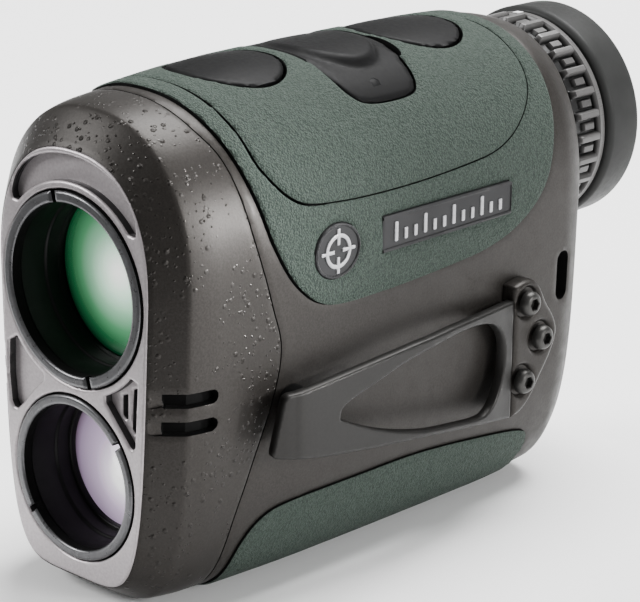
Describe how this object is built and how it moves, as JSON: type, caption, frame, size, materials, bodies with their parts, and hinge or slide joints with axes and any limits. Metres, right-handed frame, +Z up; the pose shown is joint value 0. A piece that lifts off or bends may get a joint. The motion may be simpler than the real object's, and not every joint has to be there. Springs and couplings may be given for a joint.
{
  "type": "laser rangefinder",
  "caption": "Handheld laser rangefinder with stacked objectives, rubber armour, top buttons, battery door, focusing eyepiece, twist-up eyecup and side belt clip.",
  "frame": {"origin": "on the flat underside, in the symmetry plane, below the middle of the housing", "axes": "+Z up from the underside, -Y the way the objectives look, +Y towards the eyepiece, +X the belt clip side"},
  "size_m": [0.0516, 0.1143, 0.0811],
  "materials": {
    "plate_metal": "satin",
    "body_paint": "fine speckled satin paint",
    "green_rubber": "pebbled matte",
    "black_rubber": "matte",
    "dark_plastic": "matte",
    "black_metal": "black anodised",
    "clip_metal": "satin dark coating",
    "bright_metal": "satin",
    "brass": "machined",
    "cell_wrap": "gloss wrap",
    "circuit": "solder mask",
    "green_glass": "green coating",
    "lilac_glass": "lilac coating",
    "clear_glass": "polished"
  },
  "bodies": {
    "housing": {"face_plate": "plate_metal", "front_bezel": "body_paint", "main_housing": "body_paint", "side_armour": "green_rubber", "top_armour": "green_rubber", "lower_armour": "green_rubber", "objective_ring": "black_metal", "receiver_ring": "black_metal", "objective_barrel": "black_metal", "receiver_barrel": "black_metal", "objective_lens": "green_glass", "receiver_lens": "lilac_glass", "objective_seal": "black_rubber", "receiver_seal": "black_rubber", "barrel_bulkhead": "black_metal", "prism_block": "clear_glass", "prism_saddle": "black_metal", "display_panel": "dark_plastic", "main_board": "circuit", "sensor_board": "circuit", "receiver_sensor": "bright_metal", "laser_module": "brass", "processor": "dark_plastic", "menu_switch": "dark_plastic", "measure_switch": "dark_plastic", "menu_switch_board": "circuit", "measure_switch_board": "circuit", "battery": "cell_wrap", "battery_cradle": "dark_plastic", "battery_contact": "bright_metal", "battery_spring": "bright_metal", "tripod_insert": "brass", "name_plate_right": "dark_plastic", "name_plate_left": "dark_plastic", "round_badge": "dark_plastic", "eyepiece_tube": "black_metal", "field_lens": "clear_glass", "eye_lens": "clear_glass", "clip_base": "clip_metal", "clip_screw_1": "bright_metal", "clip_screw_2": "bright_metal", "clip_screw_3": "bright_metal"},
    "menu_button": {"menu_button": "dark_plastic"},
    "measure_button": {"measure_button": "dark_plastic"},
    "battery_door": {"battery_door": "dark_plastic", "door_hinge_pin": "bright_metal"},
    "diopter": {"diopter_ring": "dark_plastic"},
    "eyecup_sleeve": {"eyecup_sleeve": "dark_plastic"},
    "eyecup": {"eyecup": "black_rubber"},
    "clip": {"clip_arm": "clip_metal"}
  },
  "joints": [
    {"name": "menu_press", "type": "slide", "parent": "housing", "child": "menu_button", "axis": [0, 0, -1], "range_m": [0, 0.0008], "stiffness_N_per_m": 1500},
    {"name": "measure_press", "type": "slide", "parent": "housing", "child": "measure_button", "axis": [0, 0, -1], "range_m": [0, 0.0008], "stiffness_N_per_m": 1500},
    {"name": "battery_door_hinge", "type": "hinge", "parent": "housing", "child": "battery_door", "pos_m": [-0.0146, 0.00675, 0.0755], "axis": [0, -1, 0], "range_deg": [0, 95]},
    {"name": "diopter_turn", "type": "hinge", "parent": "housing", "child": "diopter", "pos_m": [0, 0.0553, 0.0586], "axis": [0, 1, 0], "range_deg": [-60, 60]},
    {"name": "eyecup_twist", "type": "hinge", "parent": "housing", "child": "eyecup_sleeve", "pos_m": [0, 0.0625, 0.0586], "axis": [0, 1, 0], "range_deg": [0, 120]},
    {"name": "eyecup_rise", "type": "slide", "parent": "eyecup_sleeve", "child": "eyecup", "axis": [0, 1, 0], "range_m": [0, 0.005]},
    {"name": "clip_flex", "type": "hinge", "parent": "housing", "child": "clip", "pos_m": [0.0246, 0.02805, 0.028], "axis": [0, 0, 1], "range_deg": [0, 6], "stiffness_Nm_per_rad": 2.4}
  ],
  "couplings": [
    {"joint": "eyecup_rise", "follows": "eyecup_twist", "m_per_rad": 0.002387}
  ]
}
